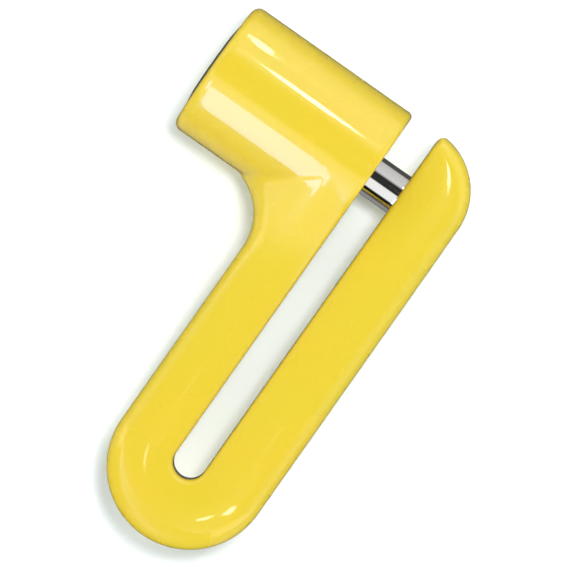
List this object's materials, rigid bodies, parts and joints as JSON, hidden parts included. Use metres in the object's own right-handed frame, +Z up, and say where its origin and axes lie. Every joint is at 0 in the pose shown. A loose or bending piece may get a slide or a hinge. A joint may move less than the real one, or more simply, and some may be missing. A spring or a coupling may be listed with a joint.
{
  "type": "brake disc lock",
  "caption": "J-shaped coated steel brake disc lock: a push-in barrel in the cylindrical head carries a chrome locking pin across a long disc slot, and a keyed core draws the latch.",
  "frame": {"origin": "under the middle of the lock's outline, on the surface it lies on, locked", "axes": "+X along the locking pin away from the keyed end, +Y along the slot towards its open end, +Z up, square to the lock's flat side"},
  "size_m": [0.0716, 0.12, 0.0354],
  "materials": {
    "yellow_coating": "glossy powder coating",
    "chrome": "polished",
    "cast_zinc": "nickel plated casting",
    "brass": "machined",
    "bronze": "sintered",
    "plain_steel": "ground",
    "black_steel": "black oxide",
    "spring_steel": "drawn wire",
    "black_rubber": "matt"
  },
  "bodies": {
    "body": {"lock_body": "yellow_coating", "pin_bushing": "bronze", "wiper_ring": "black_rubber", "guide_screw": "black_steel", "return_spring": "spring_steel"},
    "plunger": {"barrel": "cast_zinc", "barrel_face_cap": "chrome", "locking_pin": "chrome", "pin_roll_pin": "black_steel", "anti_drill_pin_1": "black_steel", "anti_drill_pin_2": "black_steel", "latch_spring": "spring_steel"},
    "plug": {"plug_drum": "brass", "anti_drill_disc": "black_steel", "sidebar": "plain_steel", "drum_tail_cam": "plain_steel", "lock_disc_1": "brass", "lock_disc_2": "brass", "lock_disc_3": "brass", "lock_disc_4": "brass", "lock_disc_5": "brass", "lock_disc_6": "brass", "disc_spacer_1": "plain_steel", "disc_spacer_2": "plain_steel", "disc_spacer_3": "plain_steel", "disc_spacer_4": "plain_steel", "disc_spacer_5": "plain_steel"},
    "latch": {"latch_bolt": "plain_steel"}
  },
  "joints": [
    {"name": "plunger_slide", "type": "slide", "parent": "body", "child": "plunger", "axis": [1, 0, 0], "range_m": [-0.0145, 0], "deforming": ["return_spring"]},
    {"name": "plug_turn", "type": "hinge", "parent": "plunger", "child": "plug", "pos_m": [-0.025, 0.04235, 0.0177], "axis": [1, 0, 0], "range_deg": [0, 90]},
    {"name": "latch_slide", "type": "slide", "parent": "plunger", "child": "latch", "axis": [0, 1, 0], "range_m": [0, 0.0029], "deforming": ["latch_spring"]}
  ],
  "couplings": [
    {"joint": "latch_slide", "follows": "plug_turn", "m_per_rad": 0.0018006}
  ]
}
